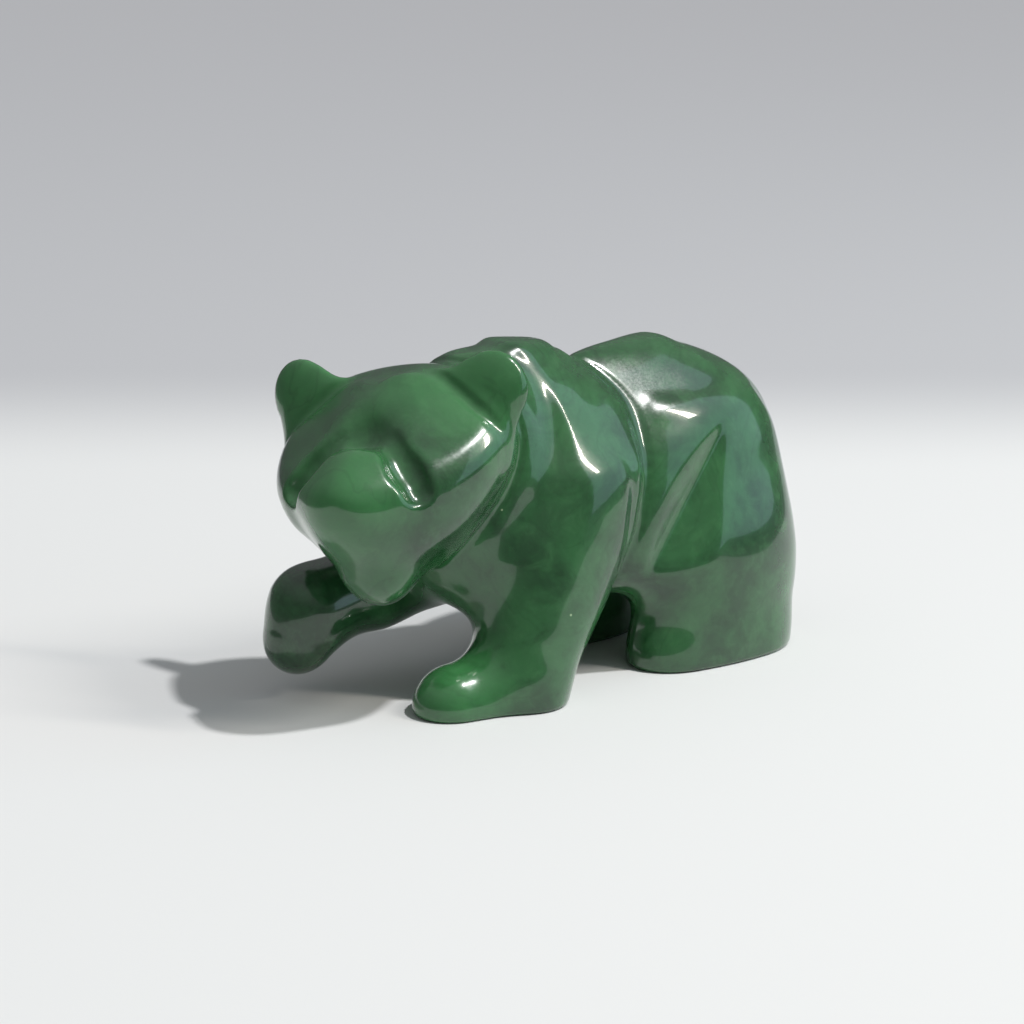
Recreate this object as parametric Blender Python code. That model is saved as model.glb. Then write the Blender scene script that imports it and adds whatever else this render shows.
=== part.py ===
"""A jade bear figurine, carved from one piece of stone and polished.

The bear walks towards -Y with its left side at +X. It stands on three feet, on Z = 0, and its right
forefoot is lifted in the middle of a step. The stone is one solid. It is shaped as a field of
distances, which is less than zero inside the stone: round masses are blended into each other with a
softness, flats and gouges are cut into them, and creases are ground where two masses meet. The skin
is then drawn where the field is zero, thinned, and cut flat under the feet.
Its proportions are shares of its length, in a unit of P, and P is 1 mm at this size. Blender's
metres, +Z up.
"""

import math

import bmesh
import bpy
import numpy as np
from mathutils import Euler, Matrix

LENGTH = 0.1055  # from the rump to the nose
P = LENGTH / 105.5  # the unit of every proportion below: the figure is 105.5 of them long
GRIT = 0.65  # step of the grid the skin is drawn on
POLISHING = 3  # smoothing passes over the skin
TRIANGLES = 8600  # the skin is thinned to about this many
JADE = (0.012, 0.075, 0.024, 1)  # linear

BLOCK_LOW = (-28, -48, -12)  # the corners of the rough block
BLOCK_HIGH = (28, 70, 68)

HEAD_AT = (0.6, -20.0, 42.7)
HEAD_TURN = (0.0, -6.0, 25.0)  # degrees: nose up, left ear down, to the bear's left


def clear_scene():
    for obj in list(bpy.data.objects):
        bpy.data.objects.remove(obj, do_unlink=True)


def blend(a, b, softness):
    """Joins two fields, with a fillet of the given softness."""
    near = np.maximum(softness - np.abs(a - b), 0) / softness
    return np.minimum(a, b) - near**2 * softness / 4


def common(a, b, softness):
    """Keeps what is inside both fields, with a rounded edge."""
    return -blend(-a, -b, softness)


def ball(points, at, radii, power=2.0):
    """A ball stretched to three radii. A power above 2 makes it fuller, towards a box."""
    radii = np.array(radii, float)
    inward = np.abs(points - np.array(at, float)) / radii + 1e-9
    size = (inward**power).sum(axis=1) ** (1 / power)
    slope = np.linalg.norm((inward / size[:, None]) ** (power - 1) / radii, axis=1)
    return (size - 1) / slope


def limb(points, joints, stretch=(1, 1, 1), softness=2.0):
    """A round limb through joints (x, y, z, radius), stretched along the axes."""
    stretch = np.array(stretch, float)
    points = points / stretch
    field = None
    for start, end in zip(joints, joints[1:]):
        a = np.array(start[:3], float) / stretch
        b = np.array(end[:3], float) / stretch
        along = b - a
        share = np.clip((points - a) @ along / (along @ along), 0, 1)
        nearest = a + share[:, None] * along
        radius = start[3] + share * (end[3] - start[3])
        piece = np.linalg.norm(points - nearest, axis=1) - radius
        field = piece if field is None else blend(field, piece, softness)
    return field * stretch.min()


def column(points, sections):
    """An upright mass with an ellipse as its plan. A section is (z, x, y, radius in x, radius in
    y), from the lowest to the highest. The plan runs smoothly from one to the next, and the mass
    ends 8 below the lowest, under the cut of the sole."""
    rows = np.array(sections, float)
    levels = np.arange(rows[0, 0] - 6, rows[-1, 0] + 6, 0.25)
    window = np.hanning(33) / np.hanning(33).sum()
    values = []
    for k in range(1, 5):
        run = np.interp(levels, rows[:, 0], rows[:, k])
        run = np.convolve(np.pad(run, 16, "edge"), window, "valid")
        values.append(np.interp(points[:, 2], levels, run))
    x, y, wide, deep = values
    u = (points[:, 0] - x) / wide
    v = (points[:, 1] - y) / deep
    size = np.hypot(u, v) + 1e-9
    slope = np.hypot(u / wide, v / deep) / size
    mass = common((size - 1) / slope, points[:, 2] - rows[-1, 0], 3)
    return common(mass, rows[0, 0] - 8 - points[:, 2], 3)


def plane(points, at, normal):
    normal = np.array(normal, float)
    return (points - np.array(at, float)) @ (normal / np.linalg.norm(normal))


def seen_from(points, at, turn_degrees):
    """The same points in the axes of a turned mass."""
    turn = Euler([math.radians(angle) for angle in turn_degrees]).to_matrix()
    return (points - np.array(at, float)) @ np.array(turn)


def furrow(distance, width, depth, crisp=2):
    """The depth to grind away at a distance from the middle of a groove. A crisp of 1 leaves
    sharp edges, 2 soft ones."""
    return depth * (1 - np.minimum(np.abs(distance / width), 1) ** 2) ** crisp


def hindquarters(p):
    back = limb(p, [(0, 19, 40.0, 16.8), (0, 34.5, 37.1, 20.1)], (0.8, 1, 1))
    rump = ball(p, (0, 42.0, 34.3), (16.6, 21.3, 19.2), 2.4)
    flank = column(p, [(14, 0, 26, 18.6, 16), (25, 0, 26, 18.8, 17), (31, 0, 26, 18.0, 17),
                       (37, 0, 27, 16.4, 17), (43, 0, 28, 14.4, 16), (48, 0, 29, 11.8, 15),
                       (53, 0, 30, 7.6, 12), (56, 0, 30, 4.0, 9)])
    flank = common(flank, 14 - p[:, 2], 10)
    body = blend(blend(back, rump, 6), flank, 5)
    # a flat along the top of each flank
    for sign in (1, -1):
        body = common(body, plane(p, (sign * 12.9, 32, 48), (sign * 0.725, -0.208, 0.656)), 3)
    feet = None
    plans = ((0, 8.6, 15.5), (6, 9.9, 17.0), (12, 10.6, 18.6), (18, 11.1, 19.8), (24, 10.6, 20.0),
             (30, 9.4, 19.8), (36, 7.6, 18.4), (42, 5.6, 15.5), (47, 3.6, 11.0))
    for sign, thigh_y, leg_y, heel_y, toe_y in ((1, 40.5, 43.6, 48.6, 33.0), (-1, 36, 31, 33.0, 21.5)):
        sections = []
        for z, wide, deep in plans:
            share = min(max((34 - z) / 24, 0), 1)
            sections.append((z, 11 + 1.7 * share, thigh_y + share * (leg_y - thigh_y), wide, deep))
        mirrored = p * np.array((sign, 1, 1))
        foot = limb(p, [(sign * 13.3, heel_y, 1.5, 8.2), (sign * 13.2, toe_y, 1.5, 7.6)], (1, 1.2, 1))
        body = blend(body, column(mirrored, sections), 4)
        feet = foot if feet is None else np.minimum(feet, foot)
    # the notch of each flank: two flat cuts that meet in a valley, shallower on the right
    for sign, out, back in ((1, 0, 0), (-1, 0.7, -5.5)):
        behind = plane(p, (sign * (18.4 + out), 25.9 + back, 31.5), (sign * 0.970, 0.190, -0.120))
        front = plane(p, (sign * (17.3 + out), 31.5 + back, 31.2), (sign * 0.866, -0.386, 0.319))
        body = common(body, blend(behind, front, 0.8), 0.6)
    return blend(body, feet, 5)


def forequarters(p):
    torso = ball(p, (0, 4, 38), (11.5, 18.0, 20.7))
    chest = ball(p, (0, -6, 29), (11, 11, 13))
    neck = ball(p, (0, -4, 47), (12.0, 13.0, 12.6))
    body = blend(blend(torso, chest, 10), neck, 8)
    shoulder = [(28, 5.8, 8.6, 15.0, 17.4), (35, 4.8, 11.0, 15.4, 17.2), (40, 4.1, 12.3, 15.0, 17.0),
                (45, 2.5, 14.0, 12.5, 17.0), (50, 1.9, 13.4, 9.2, 14.6), (55, 1.2, 9.0, 5.2, 11.0),
                (58.5, 0.5, 6.0, 2.0, 6.0)]
    foreleg = [(0, 11.6, -2.4, 8.4, 5.6), (5, 12.0, -1.6, 8.9, 8.2), (12, 11.6, 1.2, 9.8, 11.0),
               (20, 9.4, 5.0, 11.8, 13.8)]
    left = column(p, foreleg + shoulder)
    paw = limb(p, [(11.6, -3.6, 1.6, 7.7), (9.7, -14.9, 1.3, 7.0)], (1, 1.15, 1))
    mirrored = p * np.array((-1, 1, 1))
    elbow = (-12, -5, 21.0, 8.0)
    wrist = (-14, -28, 15.5, 6.8)
    toes = (-14.3, -31.2, 10.0, 5.8)
    right = limb(p, [(-11, 4, 34, 10), elbow, (-12.8, -15.4, 18.0, 7.1), wrist, toes], (1, 1, 1), 5)
    high = common(column(mirrored, shoulder), 24 - p[:, 2], 8)
    body = blend(blend(body, high, 6), blend(left, paw, 6), 6)
    return blend(body, right, 5)


def head(points):
    p = seen_from(points, HEAD_AT, HEAD_TURN)
    skull = ball(p, (0, -0.5, 1.0), (21.1, 18.4, 18.0), 2.15)
    skull = common(skull, plane(p, (0, 0, 14.8), (-0.10, -0.30, 1)), 5)
    jaw = limb(p, [(0, -5, -5, 14.5), (0, -9.0, -16.3, 4.8)], (1, 1, 1), 6)
    muzzle = limb(p, [(0, -2, -4, 14.0), (0, -14.2, -3.0, 8.4), (0, -10.6, -14.0, 6.2)], (1, 1, 1), 4)
    nose = ball(p, (0, -16.0, 0.0), (7.6, 6.2, 6.0))
    bridge = ball(p, (0, -12.6, 13.0), (8.5, 5.6, 8.8))
    skull = blend(skull, ball(p, (-12.6, -4, -1), (9.4, 9, 11)), 4)
    face = common(blend(blend(skull, jaw, 5), muzzle, 5), -bridge, 4)
    face = blend(face, nose, 2.5)
    for sign in (1, -1):
        side = 17.9 if sign > 0 else -18.9
        face = common(face, plane(p, (side, 0, -6), (sign * 0.81, 0.1, -0.585)), 6)
        cheek = (16.2, -10.3, 5) if sign > 0 else (-19.6, -10.3, 5)
        face = common(face, plane(p, cheek, (sign * 0.84, -0.53, 0.08)), 5)
    for sign, at, wide in ((1, (15.0, 3, 9.6), 10.2), (-1, (-17.6, 3, 8.6), 12.0)):
        q = seen_from(p, at, (-6, sign * 30, sign * 15))
        ear = limb(q, [(-sign * 1.0, 0, -5.5, wide), (0, 0, 3.0, 5.9)], (1, 0.42, 1), 2)
        root = limb(q, [(-sign * 8.0, 0, -6.0, 8.6), (0, 0, 3.0, 5.6)], (1, 0.42, 1), 2)
        face = blend(face, blend(ear, root, 2), 1.2)
        # the ear's flat front, and the brow that meets it in a crease
        front = plane(p, (sign * 13, 1.1, 11.6), (sign * 0.056, -0.954, 0.296))
        brow = plane(p, (sign * 13, 1.1, 11.6), (sign * 0.449, -0.518, 0.723))
        face = common(face, blend(front, brow, 0.6), 2.5)
    # the gouges beside the nose, each made with a round burr
    for sign in (1, -1):
        burr = [(sign * 5.0, -12.0, 7.9, 2.7), (sign * 9.6, -15.0, 3.6, 3.0),
                (sign * 12.3, -15.9, -0.6, 3.0)]
        face = common(face, -limb(p, burr), 0.8)
    return face


def bear(p):
    hind = hindquarters(p)
    fore = forequarters(p)
    skull = head(p)
    body = blend(hind, fore, 2.0)
    # the waist: a crease where the two masses meet and a soft line in front of it
    body = body + furrow(fore - hind, 1.8, 0.5) + furrow(fore - hind + 3.6, 1.6, 0.3)
    # the collar: a crease along the head, then a narrow strip, then a wide shallow valley
    fading = np.clip((p[:, 2] - 26) / 10, 0, 1)
    body = body + fading * (furrow(skull - 0.5, 1.1, 0.9) + furrow(skull - 6.8, 4.0, 0.8))
    return blend(body, skull, 1.5)


def skin(field, low, step):
    """Draws the surface where the field is zero: a point in every cell it crosses, a quad over
    every grid line it crosses."""
    cells = tuple(n - 1 for n in field.shape)
    sums = np.zeros((*cells, 3))
    hits = np.zeros(cells)
    counts = [np.arange(n, dtype=float) for n in field.shape]
    places = np.stack(np.meshgrid(*counts, indexing="ij"), axis=-1)
    crossings = []
    for axis in range(3):
        first = [slice(None)] * 3
        second = [slice(None)] * 3
        first[axis] = slice(None, -1)
        second[axis] = slice(1, None)
        a = field[tuple(first)]
        b = field[tuple(second)]
        crossed = (a < 0) != (b < 0)
        share = np.where(crossed, a / np.where(a == b, 1, a - b), 0)
        point = places[tuple(first)].copy()
        point[..., axis] += share
        point *= crossed[..., None]
        others = [k for k in range(3) if k != axis]
        for i in (0, 1):
            for j in (0, 1):
                part = [slice(None)] * 3
                part[others[0]] = slice(i, i + cells[others[0]])
                part[others[1]] = slice(j, j + cells[others[1]])
                sums += point[tuple(part)]
                hits += crossed[tuple(part)]
        crossings.append((axis, others, crossed, a < 0))
    used = hits > 0
    index = np.full(cells, -1)
    index[used] = np.arange(used.sum())
    verts = sums[used] / hits[used][:, None] * step + np.array(low)
    faces = []
    for axis, others, crossed, inside in crossings:
        at = np.argwhere(crossed)
        corner = []
        for i, j in ((1, 1), (0, 1), (0, 0), (1, 0)):
            cell = at.copy()
            cell[:, others[0]] -= i
            cell[:, others[1]] -= j
            corner.append(index[tuple(cell.T)])
        quads = np.stack(corner, axis=1)
        flip = inside[tuple(at.T)] == (axis == 1)
        quads[flip] = quads[flip][:, ::-1]
        faces.append(quads)
    return verts, np.vstack(faces)


def grown(name):
    """The stone as a fine mesh."""
    axes = [np.arange(a, b, GRIT) for a, b in zip(BLOCK_LOW, BLOCK_HIGH)]
    grid = np.stack(np.meshgrid(*axes, indexing="ij"), axis=-1)
    field = bear(grid.reshape(-1, 3)).reshape(grid.shape[:3])
    verts, faces = skin(field, BLOCK_LOW, GRIT)
    mesh = bpy.data.meshes.new(name)
    mesh.from_pydata((verts * P).tolist(), [], faces.tolist())
    mesh.update()
    obj = bpy.data.objects.new(name, mesh)
    bpy.context.scene.collection.objects.link(obj)
    return obj


def applied(obj):
    """Bakes the object's modifiers into its mesh."""
    graph = bpy.context.evaluated_depsgraph_get()
    mesh = bpy.data.meshes.new_from_object(obj.evaluated_get(graph))
    obj.modifiers.clear()
    obj.data = mesh
    return obj


def cut_soles(obj):
    """Cuts the feet flat at Z = 0 and closes the cuts."""
    bm = bmesh.new()
    bm.from_mesh(obj.data)
    whole = bm.verts[:] + bm.edges[:] + bm.faces[:]
    bmesh.ops.bisect_plane(bm, geom=whole, plane_co=(0, 0, 0), plane_no=(0, 0, 1), clear_inner=True)
    rims = [edge for edge in bm.edges if edge.is_boundary]
    bmesh.ops.dissolve_degenerate(bm, dist=0.1 * P, edges=rims)
    rims = [edge for edge in bm.edges if edge.is_boundary]
    soles = bmesh.ops.contextual_create(bm, geom=rims)["faces"]
    bmesh.ops.recalc_face_normals(bm, faces=bm.faces)
    for face in bm.faces:
        face.smooth = face not in soles
    bm.to_mesh(obj.data)
    bm.free()
    return len(soles)


def centred(obj):
    """Moves the mesh so that the middle of its box is over the origin."""
    places = np.array([vert.co for vert in obj.data.vertices])
    middle = (places.min(axis=0) + places.max(axis=0)) / 2
    obj.data.transform(Matrix.Translation((-middle[0], -middle[1], 0)))
    return middle


def jade():
    material = bpy.data.materials.new("green_jade")
    material.use_nodes = True
    shader = material.node_tree.nodes["Principled BSDF"]
    shader.inputs["Base Color"].default_value = JADE
    shader.inputs["Roughness"].default_value = 0.1
    shader.inputs["IOR"].default_value = 1.61
    return material


def main():
    clear_scene()
    stone = grown("jade_bear")
    even = stone.modifiers.new("one even skin", "REMESH")
    even.mode = "VOXEL"
    even.voxel_size = 0.85 * GRIT * P
    soft = stone.modifiers.new("polish", "SMOOTH")
    soft.factor = 0.5
    soft.iterations = POLISHING
    applied(stone)
    thin = stone.modifiers.new("thin", "DECIMATE")
    thin.ratio = TRIANGLES / (2 * len(stone.data.polygons))
    applied(stone)
    soles = cut_soles(stone)
    middle = centred(stone)
    stone.data.materials.append(jade())
    triangles = sum(len(face.vertices) - 2 for face in stone.data.polygons)
    print("soles", soles, "moved by", middle, "triangles", triangles)


main()
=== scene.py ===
# %% [markdown]
# # A jade bear, from the solid frame to the polished stone
#
# The object is a small bear carved from one piece of nephrite jade and polished. It stands on three
# feet, and its right forefoot is lifted in the middle of a step. The frame already holds the bear
# as one solid of flat triangles, at its real size. This lesson gives it the fine skin, the stone and
# the light that the real one shows.

# %% The frame
import math

import bpy
import numpy as np
from mathutils import Euler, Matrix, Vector


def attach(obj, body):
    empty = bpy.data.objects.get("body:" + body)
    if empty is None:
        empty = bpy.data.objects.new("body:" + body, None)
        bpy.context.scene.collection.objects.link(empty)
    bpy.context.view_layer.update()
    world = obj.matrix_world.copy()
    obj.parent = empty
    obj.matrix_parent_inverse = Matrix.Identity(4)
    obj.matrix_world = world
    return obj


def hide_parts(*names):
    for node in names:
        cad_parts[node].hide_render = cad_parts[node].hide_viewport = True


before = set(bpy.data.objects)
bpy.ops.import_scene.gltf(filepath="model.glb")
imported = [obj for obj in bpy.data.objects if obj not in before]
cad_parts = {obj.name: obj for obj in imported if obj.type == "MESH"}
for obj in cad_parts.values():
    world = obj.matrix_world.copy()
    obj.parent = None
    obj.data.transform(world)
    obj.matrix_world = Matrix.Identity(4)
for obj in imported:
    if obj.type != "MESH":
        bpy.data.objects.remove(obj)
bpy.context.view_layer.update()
MM = 0.001

# %% [markdown]
# ## The camera
#
# The camera stands in front of the bear's left shoulder, a little above it. An angle round the
# bear, an angle above the table and a distance say where it is. A long lens, with a narrow field of
# view, keeps the bear's proportions true.

# %% The camera
LOOK_AT = Vector((-1.73, -2.25, 28.8)) * MM
CAMERA_AZIMUTH = 50  # degrees


def direction(azimuth, elevation):
    """The way from the bear to a thing that stands at these angles, in degrees. Azimuth 0 is in
    front of the nose, and 90 on the bear's left."""
    a = math.radians(azimuth)
    e = math.radians(elevation)
    return Vector((math.sin(a) * math.cos(e), -math.cos(a) * math.cos(e), math.sin(e)))


def add_camera(azimuth, elevation, distance, field_of_view):
    bpy.ops.object.camera_add()
    camera = bpy.context.object
    back = direction(azimuth, elevation)
    camera.location = LOOK_AT + back * distance
    camera.rotation_euler = (-back).to_track_quat("-Z", "Y").to_euler()
    camera.data.sensor_width = 36
    camera.data.lens = 18 / math.tan(math.radians(field_of_view / 2))
    camera.data.clip_start = 0.01
    return camera


camera = add_camera(CAMERA_AZIMUTH, elevation=15, distance=0.5, field_of_view=20.7)
bpy.context.scene.camera = camera
print("the lens is", round(camera.data.lens, 1), "mm long")

# %% [markdown]
# ## How the form was carved
#
# The frame's triangles are about 2 mm wide. That is fine for a solid that is weighed and stood on a
# table, but a polished stone shows every flat facet as a kink in its reflections. So the skin is
# drawn again from the form itself. The form is a field of distances: a function that gives, for any
# point, how far it is from the surface, and less than zero inside the stone. Two masses are joined
# by taking the smaller of their two distances, and a little rounding makes a fillet of it.

# %% Joining masses
def blend(a, b, softness):
    """Joins two fields, with a fillet of the given softness."""
    near = np.maximum(softness - np.abs(a - b), 0) / softness
    return np.minimum(a, b) - near**2 * softness / 4


def common(a, b, softness):
    """Keeps what is inside both fields, with a rounded edge."""
    return -blend(-a, -b, softness)


# %% [markdown]
# A mass is a stretched ball, or a limb: a row of balls with straight cones between them. Both are
# enough for an animal, because a carver starts from the same round masses.

# %% Round masses
def ball(points, at, radii, power=2.0):
    """A ball stretched to three radii. A power above 2 makes it fuller, towards a box."""
    radii = np.array(radii, float)
    inward = np.abs(points - np.array(at, float)) / radii + 1e-9
    size = (inward**power).sum(axis=1) ** (1 / power)
    slope = np.linalg.norm((inward / size[:, None]) ** (power - 1) / radii, axis=1)
    return (size - 1) / slope


def limb(points, joints, stretch=(1, 1, 1), softness=2.0):
    """A round limb through joints (x, y, z, radius), stretched along the axes."""
    stretch = np.array(stretch, float)
    points = points / stretch
    field = None
    for start, end in zip(joints, joints[1:]):
        a = np.array(start[:3], float) / stretch
        b = np.array(end[:3], float) / stretch
        along = b - a
        share = np.clip((points - a) @ along / (along @ along), 0, 1)
        nearest = a + share[:, None] * along
        radius = start[3] + share * (end[3] - start[3])
        piece = np.linalg.norm(points - nearest, axis=1) - radius
        field = piece if field is None else blend(field, piece, softness)
    return field * stretch.min()


def plane(points, at, normal):
    normal = np.array(normal, float)
    return (points - np.array(at, float)) @ (normal / np.linalg.norm(normal))


def seen_from(points, at, turn_degrees):
    """The same points in the axes of a turned mass."""
    turn = Euler([math.radians(angle) for angle in turn_degrees]).to_matrix()
    return (points - np.array(at, float)) @ np.array(turn)


# %% [markdown]
# A shoulder, a thigh or a foreleg that carries weight is an upright mass. Its plan is an ellipse at
# each height, and a few named heights are enough, because the plan runs smoothly between them.

# %% Upright masses and creases
def column(points, sections):
    """An upright mass with an ellipse as its plan. A section is (z, x, y, radius in x, radius in
    y), from the lowest to the highest. The plan runs smoothly from one to the next, and the mass
    ends 8 below the lowest, under the cut of the sole."""
    rows = np.array(sections, float)
    levels = np.arange(rows[0, 0] - 6, rows[-1, 0] + 6, 0.25)
    window = np.hanning(33) / np.hanning(33).sum()
    values = []
    for k in range(1, 5):
        run = np.interp(levels, rows[:, 0], rows[:, k])
        run = np.convolve(np.pad(run, 16, "edge"), window, "valid")
        values.append(np.interp(points[:, 2], levels, run))
    x, y, wide, deep = values
    u = (points[:, 0] - x) / wide
    v = (points[:, 1] - y) / deep
    size = np.hypot(u, v) + 1e-9
    slope = np.hypot(u / wide, v / deep) / size
    mass = common((size - 1) / slope, points[:, 2] - rows[-1, 0], 3)
    return common(mass, rows[0, 0] - 8 - points[:, 2], 3)


def furrow(distance, width, depth, crisp=2):
    """The depth to grind away at a distance from the middle of a groove. A crisp of 1 leaves
    sharp edges, 2 soft ones."""
    return depth * (1 - np.minimum(np.abs(distance / width), 1) ** 2) ** crisp


# %% [markdown]
# ## The hindquarters
#
# The barrel of the body, the rump, and a thigh, a leg and a foot on each side. The left hind leg
# stands further back than the right one, because the bear is walking. All places are in mm.

# %% The hindquarters
def hindquarters(p):
    back = limb(p, [(0, 19, 40.0, 16.8), (0, 34.5, 37.1, 20.1)], (0.8, 1, 1))
    rump = ball(p, (0, 42.0, 34.3), (16.6, 21.3, 19.2), 2.4)
    flank = column(p, [(14, 0, 26, 18.6, 16), (25, 0, 26, 18.8, 17), (31, 0, 26, 18.0, 17),
                       (37, 0, 27, 16.4, 17), (43, 0, 28, 14.4, 16), (48, 0, 29, 11.8, 15),
                       (53, 0, 30, 7.6, 12), (56, 0, 30, 4.0, 9)])
    flank = common(flank, 14 - p[:, 2], 10)
    body = blend(blend(back, rump, 6), flank, 5)
    # a flat along the top of each flank
    for sign in (1, -1):
        body = common(body, plane(p, (sign * 12.9, 32, 48), (sign * 0.725, -0.208, 0.656)), 3)
    feet = None
    plans = ((0, 8.6, 15.5), (6, 9.9, 17.0), (12, 10.6, 18.6), (18, 11.1, 19.8), (24, 10.6, 20.0),
             (30, 9.4, 19.8), (36, 7.6, 18.4), (42, 5.6, 15.5), (47, 3.6, 11.0))
    # the side, then how far back the thigh, the leg, the heel and the toes are
    sides = ((1, 40.5, 43.6, 48.6, 33.0), (-1, 36, 31, 33.0, 21.5))
    for sign, thigh_y, leg_y, heel_y, toe_y in sides:
        sections = []
        for z, wide, deep in plans:
            share = min(max((34 - z) / 24, 0), 1)
            sections.append((z, 11 + 1.7 * share, thigh_y + share * (leg_y - thigh_y), wide, deep))
        mirrored = p * np.array((sign, 1, 1))
        heel = (sign * 13.3, heel_y, 1.5, 8.2)
        toes = (sign * 13.2, toe_y, 1.5, 7.6)
        foot = limb(p, [heel, toes], (1, 1.2, 1))
        body = blend(body, column(mirrored, sections), 4)
        feet = foot if feet is None else np.minimum(feet, foot)
    # the notch of each flank: two flat cuts that meet in a valley, shallower on the right
    for sign, out, back in ((1, 0, 0), (-1, 0.7, -5.5)):
        behind = plane(p, (sign * (18.4 + out), 25.9 + back, 31.5), (sign * 0.970, 0.190, -0.120))
        front = plane(p, (sign * (17.3 + out), 31.5 + back, 31.2), (sign * 0.866, -0.386, 0.319))
        body = common(body, blend(behind, front, 0.8), 0.6)
    return blend(body, feet, 5)


# %% [markdown]
# ## The forequarters
#
# The withers, the chest and the shoulders, then the left foreleg, which carries the bear, and the
# right one, which reaches forward and bends at the wrist.

# %% The forequarters
def forequarters(p):
    torso = ball(p, (0, 4, 38), (11.5, 18.0, 20.7))
    chest = ball(p, (0, -6, 29), (11, 11, 13))
    neck = ball(p, (0, -4, 47), (12.0, 13.0, 12.6))
    body = blend(blend(torso, chest, 10), neck, 8)
    shoulder = [(28, 5.8, 8.6, 15.0, 17.4), (35, 4.8, 11.0, 15.4, 17.2),
                (40, 4.1, 12.3, 15.0, 17.0), (45, 2.5, 14.0, 12.5, 17.0),
                (50, 1.9, 13.4, 9.2, 14.6), (55, 1.2, 9.0, 5.2, 11.0), (58.5, 0.5, 6.0, 2.0, 6.0)]
    foreleg = [(0, 11.6, -2.4, 8.4, 5.6), (5, 12.0, -1.6, 8.9, 8.2), (12, 11.6, 1.2, 9.8, 11.0),
               (20, 9.4, 5.0, 11.8, 13.8)]
    left = column(p, foreleg + shoulder)
    paw = limb(p, [(11.6, -3.6, 1.6, 7.7), (9.7, -14.9, 1.3, 7.0)], (1, 1.15, 1))
    mirrored = p * np.array((-1, 1, 1))
    elbow = (-12, -5, 21.0, 8.0)
    wrist = (-14, -28, 15.5, 6.8)
    toes = (-14.3, -31.2, 10.0, 5.8)
    right = limb(p, [(-11, 4, 34, 10), elbow, (-12.8, -15.4, 18.0, 7.1), wrist, toes], (1, 1, 1), 5)
    high = common(column(mirrored, shoulder), 24 - p[:, 2], 8)
    body = blend(blend(body, high, 6), blend(left, paw, 6), 6)
    return blend(body, right, 5)


# %% [markdown]
# ## The head
#
# The head has axes of its own, because it is turned and tilted. Its face is one smooth wedge from
# the cheeks to the chin, with a round nose, a dip at the bridge of the nose and one deep gouge on
# each side of the muzzle. The ears are wide leaves with a flat front.

# %% The head
HEAD_AT = (0.6, -20.0, 42.7)
HEAD_TURN = (0.0, -6.0, 25.0)  # degrees: nose up, left ear down, to the bear's left


def head(points):
    p = seen_from(points, HEAD_AT, HEAD_TURN)
    skull = ball(p, (0, -0.5, 1.0), (21.1, 18.4, 18.0), 2.15)
    skull = common(skull, plane(p, (0, 0, 14.8), (-0.10, -0.30, 1)), 5)
    jaw = limb(p, [(0, -5, -5, 14.5), (0, -9.0, -16.3, 4.8)], (1, 1, 1), 6)
    muzzle = limb(p, [(0, -2, -4, 14.0), (0, -14.2, -3.0, 8.4), (0, -10.6, -14.0, 6.2)],
                  (1, 1, 1), 4)
    nose = ball(p, (0, -16.0, 0.0), (7.6, 6.2, 6.0))
    bridge = ball(p, (0, -12.6, 13.0), (8.5, 5.6, 8.8))
    skull = blend(skull, ball(p, (-12.6, -4, -1), (9.4, 9, 11)), 4)
    face = common(blend(blend(skull, jaw, 5), muzzle, 5), -bridge, 4)
    face = blend(face, nose, 2.5)
    for sign in (1, -1):
        side = 17.9 if sign > 0 else -18.9
        face = common(face, plane(p, (side, 0, -6), (sign * 0.81, 0.1, -0.585)), 6)
        cheek = (16.2, -10.3, 5) if sign > 0 else (-19.6, -10.3, 5)
        face = common(face, plane(p, cheek, (sign * 0.84, -0.53, 0.08)), 5)
    for sign, at, wide in ((1, (15.0, 3, 9.6), 10.2), (-1, (-17.6, 3, 8.6), 12.0)):
        q = seen_from(p, at, (-6, sign * 30, sign * 15))
        ear = limb(q, [(-sign * 1.0, 0, -5.5, wide), (0, 0, 3.0, 5.9)], (1, 0.42, 1), 2)
        root = limb(q, [(-sign * 8.0, 0, -6.0, 8.6), (0, 0, 3.0, 5.6)], (1, 0.42, 1), 2)
        face = blend(face, blend(ear, root, 2), 1.2)
        # the ear's flat front, and the brow that meets it in a crease
        front = plane(p, (sign * 13, 1.1, 11.6), (sign * 0.056, -0.954, 0.296))
        brow = plane(p, (sign * 13, 1.1, 11.6), (sign * 0.449, -0.518, 0.723))
        valley = blend(front, brow, 0.6)
        face = common(face, valley, 2.5)
        # the bottom of that crease, cut deeper with the edge of the wheel
        face = face + furrow(front - brow, 1.3, 0.45) * np.clip(1 + valley / 2, 0, 1)
    # the gouges beside the nose, each made with a round burr
    for sign in (1, -1):
        burr = [(sign * 5.0, -12.0, 7.9, 2.7), (sign * 9.6, -15.0, 3.6, 3.0),
                (sign * 12.3, -15.9, -0.6, 3.0)]
        face = common(face, -limb(p, burr), 0.8)
    return face


# %% [markdown]
# ## The whole bear
#
# The two halves meet in a crease at the waist, and the head sits in a collar.

# %% The whole bear
def bear(p):
    hind = hindquarters(p)
    fore = forequarters(p)
    skull = head(p)
    body = blend(hind, fore, 2.0)
    # the waist: a crease where the two masses meet and a soft line in front of it
    body = body + furrow(fore - hind, 1.8, 0.5) + furrow(fore - hind + 3.6, 1.6, 0.3)
    # the collar: a crease along the head, then a narrow strip, then a wide shallow valley
    fading = np.clip((p[:, 2] - 26) / 10, 0, 1)
    body = body + fading * (furrow(skull - 0.6, 1.5, 0.6) + furrow(skull - 6.8, 4.0, 0.8))
    return blend(body, skull, 1.5)


def standing_bear(p):
    """The bear, cut flat under its feet, with the edges of the soles just rounded."""
    return common(bear(p), -p[:, 2], 0.8)


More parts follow.
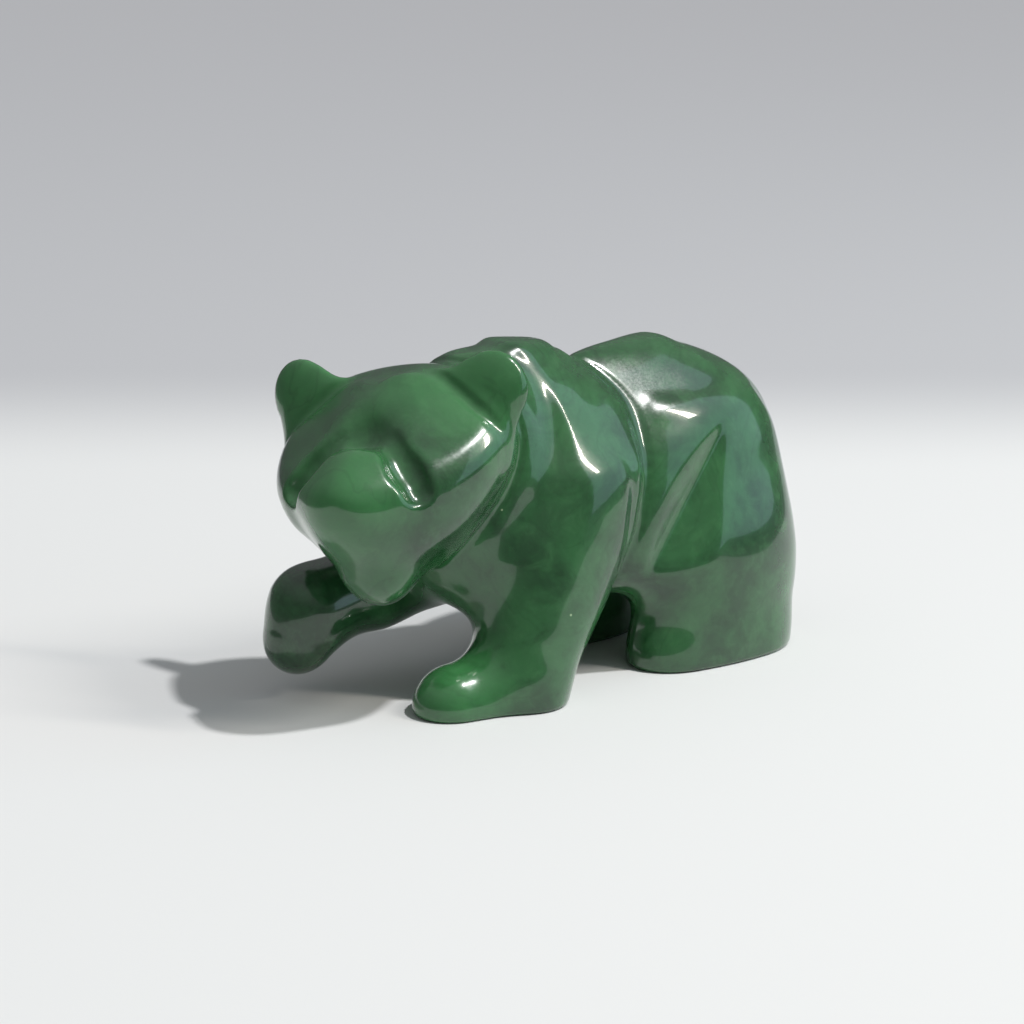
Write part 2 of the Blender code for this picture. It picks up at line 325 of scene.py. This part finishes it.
# %% [markdown]
# ## Where the carving lies in the frame
#
# The frame has its origin under the middle of the bear, and the carving has its own. The solid's
# corners say how far apart the two are: they all lie on the form, so the shift that brings their
# distances nearest to zero is the right one. Each round of least squares works that out from the
# slopes of the field.

# %% Finding the shift
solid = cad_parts["jade_bear"]
corners = np.array([vert.co for vert in solid.data.vertices]) / MM
corners = corners[corners[:, 2] > 3]


def slopes(field, p, step=0.05):
    """How fast the field rises along each axis."""
    sides = []
    for axis in np.eye(3):
        sides.append((field(p + step * axis) - field(p - step * axis)) / (2 * step))
    return np.stack(sides, axis=1)


shift = np.zeros(3)
for turn in range(6):
    distance = bear(corners + shift)
    rise = slopes(bear, corners + shift)[:, :2]
    shift[:2] -= np.linalg.lstsq(rise, distance, rcond=None)[0]
print("the carving's origin is at", np.round(-shift, 2), "mm, and the corners are within",
      round(float(np.abs(bear(corners + shift)).mean()), 3), "mm of the form")

# %% [markdown]
# ## The fine skin
#
# A copy of the solid is merged, because the frame's triangles are loose. A voxel remesh then gives
# it one even net of small squares. Each point of the net slides along the slope of the field, until
# its distance is zero. A round of relaxing in between keeps the squares even.

# %% The fine skin
NET = 0.56  # mm, the side of a square of the net


def deselect_all():
    bpy.ops.object.select_all(action="DESELECT")


def fine_copy(node, name):
    deselect_all()
    node.select_set(True)
    bpy.context.view_layer.objects.active = node
    bpy.ops.object.duplicate()
    copy = bpy.context.object
    copy.name = name
    copy.data.name = name
    bpy.ops.object.mode_set(mode="EDIT")
    bpy.ops.mesh.select_all(action="SELECT")
    bpy.ops.mesh.remove_doubles(threshold=0.001 * MM)
    bpy.ops.object.mode_set(mode="OBJECT")
    copy.data.remesh_voxel_size = NET * MM
    bpy.ops.object.voxel_remesh()
    bpy.ops.object.shade_smooth()
    return copy


def places(obj):
    flat = np.empty(len(obj.data.vertices) * 3)
    obj.data.vertices.foreach_get("co", flat)
    return flat.reshape(-1, 3) / MM


def place(obj, points):
    obj.data.vertices.foreach_set("co", (points * MM).ravel())
    obj.data.update()


def slide(points, rounds=3, longest=0.4):
    """Moves the points onto the form, no further than the longest step at a time."""
    for turn in range(rounds):
        distance = standing_bear(points + shift)
        rise = slopes(standing_bear, points + shift)
        step = distance / np.maximum((rise**2).sum(axis=1), 0.1)
        step = np.clip(step, -longest, longest)
        points = points - rise * step[:, None]
    return points


def relax(obj, points, share=0.5):
    """Moves each point part of the way to the middle of its neighbours."""
    edges = np.empty(len(obj.data.edges) * 2, int)
    obj.data.edges.foreach_get("vertices", edges)
    a, b = edges.reshape(-1, 2).T
    sums = np.zeros_like(points)
    np.add.at(sums, a, points[b])
    np.add.at(sums, b, points[a])
    counts = np.bincount(edges, minlength=len(points))
    return points + share * (sums / counts[:, None] - points)


bear_skin = fine_copy(solid, "carved_bear")
points = slide(places(bear_skin), rounds=6)
for turn in range(3):
    points = slide(relax(bear_skin, points), rounds=2)
place(bear_skin, points)
print("the net has", len(bear_skin.data.polygons), "squares, off the form by at most",
      round(float(np.abs(standing_bear(points + shift)).max()), 3), "mm")

# %% [markdown]
# ## The stone
#
# Nephrite is a felt of fine fibres. It is cloudy: paler where the felt is loose, darker where there
# is more iron, with a few thin veins and pale specks. Light goes a few millimetres into it and
# comes back green, so thin parts such as the ears glow. All patterns are worked out from the place
# in the stone, so they run through it as they do in the real block.

# %% Colours and nodes
def linear(hex_colour):
    """A colour as paint programs write it, in the linear light that the shader wants."""
    parts = [int(hex_colour[i : i + 2], 16) / 255 for i in (1, 3, 5)]
    light = [part / 12.92 if part <= 0.04045 else ((part + 0.055) / 1.055) ** 2.4 for part in parts]
    return light + [1]


def add_node(material, kind, settings=None, **inputs):
    """Adds a node, and fills its inputs with values or with other nodes' outputs. An input that
    has no name of its own is given by its number: _0, _1."""
    node = material.node_tree.nodes.new(kind)
    for name, value in (settings or {}).items():
        setattr(node, name, value)
    for name, value in inputs.items():
        socket = node.inputs[int(name[1:]) if name[0] == "_" else name.replace("_", " ")]
        if isinstance(value, bpy.types.NodeSocket):
            material.node_tree.links.new(value, socket)
        else:
            socket.default_value = value
    return node


def spread(material, value, low, high, out_low=0.0, out_high=1.0):
    """A value spread from one range to another, and kept inside it."""
    settings = {"interpolation_type": "SMOOTHSTEP"}
    node = add_node(material, "ShaderNodeMapRange", settings, Value=value, From_Min=low,
                    From_Max=high, To_Min=out_low, To_Max=out_high)
    return node.outputs["Result"]


def mixed(material, factor, a, b):
    """Two colours mixed: sockets 0, 6 and 7 of the node are its factor and its two colours."""
    node = add_node(material, "ShaderNodeMix", {"data_type": "RGBA"}, _0=factor, _6=a, _7=b)
    return node.outputs[2]


# %% [markdown]
# The clouds are about 20 mm wide, with smaller ones of 4 mm in them. Over the bear's muzzle, left
# forepaw, ears and forehead a paler green is painted on, as painted light and sheen where they catch
# light.

# %% Polished nephrite
NEPHRITE_IOR = 1.61
# the greens of the stone, from the darkest lumps to the palest specks
DARK_LUMP = linear("#17321c")
VEIN = linear("#17331d")
DEEP_GREEN = linear("#214529")
LEAF_GREEN = linear("#31633a")
PALE_LUMP = linear("#43784a")
# a paler green for painted light and sheen, where parts of the bear catch light
PAINTED_LIGHT_GREEN = linear("#468a50")
SPECK = linear("#94ac86")
# the middle and the reach, in mm, of each patch of painted light and sheen
PAINTED_LIGHT_PATCHES = [
    ((4.0, -44.0, 44.0), 24.0),  # the muzzle
    ((11.0, -22.0, 5.0), 19.0),  # the left forepaw
    ((13.0, -14.0, 58.0), 15.0),  # the left ear
    ((3.0, -28.0, 60.0), 13.0),  # the forehead
    ((-17.0, -26.0, 54.0), 15.0),  # the right ear
]


def noise(material, where, scale_mm, detail=4.0, rough=0.55, bend=0.0):
    """A cloudy pattern whose lumps are about so many millimetres wide."""
    node = add_node(material, "ShaderNodeTexNoise", Vector=where, Scale=1 / scale_mm, Detail=detail,
                    Roughness=rough, Distortion=bend)
    return node.outputs["Fac"]


def polished_nephrite():
    """Nephrite, ground with ever finer grit and buffed: a hard, glassy surface, that leaves the
    hairline scratches of the last grit and a slight waviness."""
    material = bpy.data.materials.new("polished_nephrite")
    material.use_nodes = True
    shader = material.node_tree.nodes["Principled BSDF"]
    place_in_stone = add_node(material, "ShaderNodeTexCoord").outputs["Object"]
    where = add_node(material, "ShaderNodeVectorMath", {"operation": "SCALE"}, _0=place_in_stone,
                     Scale=1 / MM).outputs[0]

    clouds = noise(material, where, 20, 5, 0.6, 0.6)
    colour = mixed(material, spread(material, clouds, 0.34, 0.62), DEEP_GREEN, LEAF_GREEN)
    lumps = noise(material, where, 4.5, 6, 0.65, 0.4)
    pale = spread(material, lumps, 0.45, 0.78, 0, 0.45)
    colour = mixed(material, pale, colour, PALE_LUMP)
    dark = spread(material, lumps, 0.25, 0.47, 0.45, 0)
    colour = mixed(material, dark, colour, DARK_LUMP)
    # painted light and sheen: a paler green laid over the muzzle, the left forepaw, the ears and the
    # forehead
    for middle, reach in PAINTED_LIGHT_PATCHES:
        gap = add_node(material, "ShaderNodeVectorMath", {"operation": "DISTANCE"}, _0=where,
                       _1=[a - b for a, b in zip(middle, shift)]).outputs["Value"]
        glow = spread(material, gap, 0.2 * reach, reach, 0.45, 0)
        colour = mixed(material, glow, colour, PAINTED_LIGHT_GREEN)

    # dark veins: the thin lines where a slow pattern passes its middle value
    slow = noise(material, where, 16, 3, 0.5, 1.2)
    off = add_node(material, "ShaderNodeMath", {"operation": "SUBTRACT"}, _0=slow, _1=0.5)
    off = add_node(material, "ShaderNodeMath", {"operation": "ABSOLUTE"}, _0=off.outputs[0])
    vein = spread(material, off.outputs[0], 0.0, 0.03, 0.15, 0)
    colour = mixed(material, vein, colour, VEIN)
    # pale specks: mica and talc, under half a millimetre across
    cells = add_node(material, "ShaderNodeTexVoronoi", Vector=where, Scale=0.22)
    speck = spread(material, cells.outputs["Distance"], 0.03, 0.06, 1, 0)
    chosen = spread(material, noise(material, where, 7, 2), 0.55, 0.6)
    speck = add_node(material, "ShaderNodeMath", {"operation": "MULTIPLY"}, _0=speck, _1=chosen)
    colour = mixed(material, speck.outputs[0], colour, SPECK)
    material.node_tree.links.new(colour, shader.inputs["Base Color"])

    # the polish: nearly even, duller in cloudy patches, with a sparkle of fine grains
    dull = noise(material, where, 9, 3)
    grain = noise(material, where, 0.5, 2, 0.6)
    rough = add_node(material, "ShaderNodeMath", {"operation": "MULTIPLY_ADD"}, _0=dull, _1=0.10,
                     _2=spread(material, grain, 0.35, 0.7, 0.14, 0.20))
    material.node_tree.links.new(rough.outputs[0], shader.inputs["Roughness"])
    wave = noise(material, where, 5, 2)
    soft = add_node(material, "ShaderNodeBump", Strength=0.25, Distance=0.12 * MM, Height=wave)
    pits = add_node(material, "ShaderNodeBump", Strength=0.12, Distance=0.012 * MM, Height=grain,
                    Normal=soft.outputs[0])
    # hairline scratches, 0.1 mm wide and up to 8 mm long, drawn a little coarser than real ones
    turned = add_node(material, "ShaderNodeMapping", Vector=where, Rotation=(0.4, 0.9, 0.5),
                      Scale=(0.06, 4.0, 4.0))
    lines = noise(material, turned.outputs[0], 2.2, 1, 0.5)
    line = spread(material, lines, 0.72, 0.78)
    hair = add_node(material, "ShaderNodeBump", {"invert": True}, Strength=0.3, Distance=0.01 * MM,
                    Height=line, Normal=pits.outputs[0])
    material.node_tree.links.new(hair.outputs[0], shader.inputs["Normal"])

    shader.inputs["IOR"].default_value = NEPHRITE_IOR
    shader.inputs["Specular IOR Level"].default_value = 0.3
    # the glassy last polish over the hazier scratches of the grit before it
    shader.inputs["Coat Weight"].default_value = 0.65
    shader.inputs["Coat Roughness"].default_value = 0.05
    shader.inputs["Coat IOR"].default_value = NEPHRITE_IOR
    shader.inputs["Subsurface Weight"].default_value = 0.25
    shader.inputs["Subsurface Radius"].default_value = (0.25, 1.0, 0.35)
    shader.inputs["Subsurface Scale"].default_value = 2.5 * MM
    return material


nephrite = polished_nephrite()
bear_skin.data.materials.clear()
bear_skin.data.materials.append(nephrite)
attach(bear_skin, "root")
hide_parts("jade_bear")
print("the stone has", len(nephrite.node_tree.nodes), "nodes")

# %% [markdown]
# ## The table and the light
#
# Polished stone is a mirror, so its look is made by what stands round it. The bear stands on a
# white card, which runs on behind it, greyed there by painted shade. Low parts of the bear mirror
# the card. A tall window stands to its left and gives the bluish patches on the shoulder and the
# thigh. A narrow lamp gives the long bright streaks, and the sun the shadow. The rest of the room is
# dim.

# %% The table
HALF_WIDTH = 0.31  # m
NEAR_EDGE = 0.34  # m, from the middle of the table to the edge in front of the bear
WIDENS_AT = 0.20  # m, to where the card behind the bear begins to widen
FAR_EDGE, FAR_HALF_WIDTH = 2.6, 0.9  # m
# painted shade: the card is greyed from the first distance behind the bear to the second
PAINTED_SHADE_FROM, PAINTED_SHADE_FULL_AT = 0.14, 0.26  # m, where the tone of the card falls off
UNDER_SOLES = 0.05 * MM  # the gap that keeps the card and the soles apart


def white_card(name):
    """A flat sheet of card, wider behind the bear, greyed behind it by painted shade."""
    back_way = -direction(CAMERA_AZIMUTH, 0)
    right_way = Vector((back_way.y, -back_way.x, 0))
    points = []
    rows = ((-NEAR_EDGE, HALF_WIDTH), (WIDENS_AT, HALF_WIDTH), (FAR_EDGE, FAR_HALF_WIDTH))
    for back, half in rows:
        for aside in (-half, half):
            points.append(back_way * back + right_way * aside - Vector((0, 0, UNDER_SOLES)))
    mesh = bpy.data.meshes.new(name)
    mesh.from_pydata(points, [], [(0, 1, 3, 2), (2, 3, 5, 4)])
    sheet = bpy.data.objects.new(name, mesh)
    bpy.context.scene.collection.objects.link(sheet)
    # matt white card, greyed behind the bear by painted shade, and no gloss that could mirror the
    # bear
    material = bpy.data.materials.new("card_with_painted_shade")
    material.use_nodes = True
    shader = material.node_tree.nodes["Principled BSDF"]
    where = add_node(material, "ShaderNodeTexCoord").outputs["Object"]
    back = add_node(material, "ShaderNodeVectorMath", {"operation": "DOT_PRODUCT"}, _0=where,
                    _1=back_way).outputs["Value"]
    # painted shade: the card goes from white to grey behind the bear
    card_tone_with_painted_shade = mixed(material, spread(material, back, PAINTED_SHADE_FROM, PAINTED_SHADE_FULL_AT), linear("#dfdfdf"),
                 linear("#bcbcbf"))
    material.node_tree.links.new(card_tone_with_painted_shade, shader.inputs["Base Color"])
    shader.inputs["Roughness"].default_value = 0.8
    shader.inputs["Specular IOR Level"].default_value = 0.15
    mesh.materials.append(material)
    return sheet


white_card("table")

# %% The light
def window(name, azimuth, height, distance, wide, tall, glow, colour):
    """A tall window that stands upright, and gives the same light from every part of it. Its power
    is its glow times pi times its area."""
    bpy.ops.object.light_add(type="AREA")
    lamp = bpy.context.object
    lamp.name = name
    lamp.data.shape = "RECTANGLE"
    lamp.data.size = wide
    lamp.data.size_y = tall
    lamp.data.energy = glow * math.pi * wide * tall
    lamp.data.color = linear(colour)[:3]
    way = direction(azimuth, 0)
    lamp.location = way * distance + Vector((0, 0, height))
    lamp.rotation_euler = (-way).to_track_quat("-Z", "Y").to_euler()
    return lamp


window("window", 136, 0.70, 0.8, 0.86, 1.3, 1.0, "#cdf0ff")


def strip(name, azimuth, elevation, distance, wide, tall, glow):
    """A narrow lamp that points at the bear. It draws the long bright streaks."""
    lamp = window(name, azimuth, 0, distance, wide, tall, glow, "#fff6ea")
    way = direction(azimuth, elevation)
    lamp.location = way * distance
    lamp.rotation_euler = (-way).to_track_quat("-Z", "Y").to_euler()
    return lamp


strip("glint_strip", 121, 46, 0.9, 0.06, 0.34, 40)

bpy.ops.object.light_add(type="SUN")
sun = bpy.context.object
sun.data.energy = 2.0
sun.data.angle = math.radians(3.0)
sun.rotation_euler = (-direction(122, 63)).to_track_quat("-Z", "Y").to_euler()

world = bpy.data.worlds.new("room")
bpy.context.scene.world = world
world.use_nodes = True
# the room is dim at the height of the eye and brighter towards its white ceiling
room = world.node_tree.nodes["Background"]
room.inputs["Color"].default_value = (0.95, 0.98, 1, 1)
way = add_node(world, "ShaderNodeTexCoord").outputs["Generated"]
height = add_node(world, "ShaderNodeSeparateXYZ", _0=way).outputs["Z"]
world.node_tree.links.new(spread(world, height, 0.1, 1.0, 0.13, 0.42), room.inputs["Strength"])
bpy.context.scene.view_settings.view_transform = "Standard"
